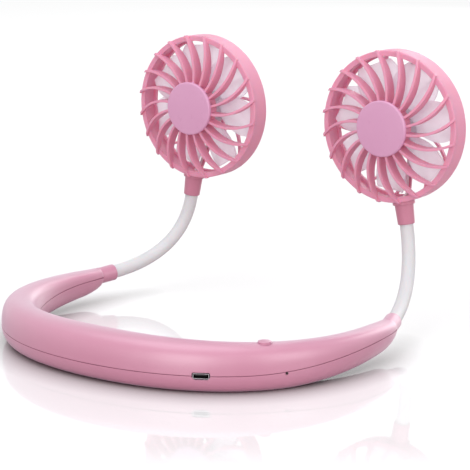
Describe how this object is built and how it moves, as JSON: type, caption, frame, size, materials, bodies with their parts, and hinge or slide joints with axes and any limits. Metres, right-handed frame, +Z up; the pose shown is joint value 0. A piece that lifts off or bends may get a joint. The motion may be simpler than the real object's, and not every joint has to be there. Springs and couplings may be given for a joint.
{
  "type": "electric neck fan",
  "caption": "U-shaped neck band carrying two small caged fans on bendable goosenecks, worn round the neck to blow air at the face.",
  "frame": {"origin": "on the surface the band lies on, under the middle of the whole fan's length and width", "axes": "+X to the wearer's right arm of the band, +Y from the band's closed back to its open ends, +Z up from the surface"},
  "size_m": [0.202, 0.1882, 0.1425],
  "materials": {
    "band_pink": "satin moulded shell",
    "cage_pink": "satin moulded cage",
    "hub_pink": "satin lavender-pink disc",
    "blade_white": "slightly translucent white",
    "sleeve_silicone": "matte silicone",
    "core_metal": "wound bendable tube",
    "lead_vinyl": "vinyl insulation",
    "screw_steel": "plated steel",
    "motor_can": null,
    "bush_bronze": "sintered bronze",
    "cell_wrap": null,
    "board_green": "solder-masked laminate",
    "socket_metal": "plated drawn shell",
    "switch_black": "moulded",
    "lamp_white": "cast lamp body",
    "lens_clear": "clear guide, dark when unlit"
  },
  "bodies": {
    "neckband": {"upper_shell": "band_pink", "lower_shell": "band_pink", "shell_screws": "screw_steel", "control_board": "board_green", "usb_socket": "socket_metal", "tact_switch": "switch_black", "status_led": "lamp_white", "indicator_lens": "lens_clear", "band_lead_left": "lead_vinyl", "band_lead_right": "lead_vinyl", "battery_cell_left": "cell_wrap", "battery_cell_right": "cell_wrap", "arm_collar_left": "band_pink", "arm_collar_right": "band_pink"},
    "button": {"power_button": "band_pink", "switch_plunger": "switch_black"},
    "left_arm": {"gooseneck_sleeve_left": "sleeve_silicone", "gooseneck_core_left": "core_metal", "gooseneck_lead_left": "lead_vinyl"},
    "left_head": {"head_stem_left": "cage_pink", "rear_housing_left": "cage_pink", "front_grille_left": "cage_pink", "hub_cap_left": "hub_pink", "motor_can_left": "motor_can", "motor_bushes_left": "bush_bronze", "motor_screws_left": "screw_steel", "head_lead_left": "lead_vinyl"},
    "left_rotor": {"impeller_left": "blade_white", "motor_shaft_left": "screw_steel"},
    "right_arm": {"gooseneck_sleeve_right": "sleeve_silicone", "gooseneck_core_right": "core_metal", "gooseneck_lead_right": "lead_vinyl"},
    "right_head": {"head_stem_right": "cage_pink", "rear_housing_right": "cage_pink", "front_grille_right": "cage_pink", "hub_cap_right": "hub_pink", "motor_can_right": "motor_can", "motor_bushes_right": "bush_bronze", "motor_screws_right": "screw_steel", "head_lead_right": "lead_vinyl"},
    "right_rotor": {"impeller_right": "blade_white", "motor_shaft_right": "screw_steel"}
  },
  "joints": [
    {"name": "button_press", "type": "slide", "parent": "neckband", "child": "button", "axis": [0, 0, -1], "range_m": [0, 0.0006], "stiffness_N_per_m": 400, "springref_m": -0.001},
    {"name": "left_neck_bend", "type": "hinge", "parent": "neckband", "child": "left_arm", "pos_m": [-0.08436, 0.05164, 0.01594], "axis": [0.9462, -0.2833, -0.1566], "range_deg": [-25, 30], "deforming": ["gooseneck_sleeve_left", "gooseneck_core_left", "gooseneck_lead_left"]},
    {"name": "left_head_nod", "type": "hinge", "parent": "left_arm", "child": "left_head", "pos_m": [-0.07075, 0.0813, 0.0445], "axis": [0.9462, -0.2833, -0.1566], "range_deg": [-35, 35], "deforming": ["gooseneck_sleeve_left", "gooseneck_core_left", "gooseneck_lead_left"]},
    {"name": "left_fan_spin", "type": "hinge", "parent": "left_head", "child": "left_rotor", "pos_m": [-0.061, 0.0751, 0.1034], "axis": [0, -1, 0], "continuous": true},
    {"name": "right_neck_bend", "type": "hinge", "parent": "neckband", "child": "right_arm", "pos_m": [0.08436, 0.05164, 0.01594], "axis": [0.9462, 0.2833, 0.1566], "range_deg": [-25, 30], "deforming": ["gooseneck_sleeve_right", "gooseneck_core_right", "gooseneck_lead_right"]},
    {"name": "right_head_nod", "type": "hinge", "parent": "right_arm", "child": "right_head", "pos_m": [0.07075, 0.0813, 0.0445], "axis": [0.9462, 0.2833, 0.1566], "range_deg": [-35, 35], "deforming": ["gooseneck_sleeve_right", "gooseneck_core_right", "gooseneck_lead_right"]},
    {"name": "right_fan_spin", "type": "hinge", "parent": "right_head", "child": "right_rotor", "pos_m": [0.061, 0.0751, 0.1034], "axis": [0, -1, 0], "continuous": true}
  ]
}
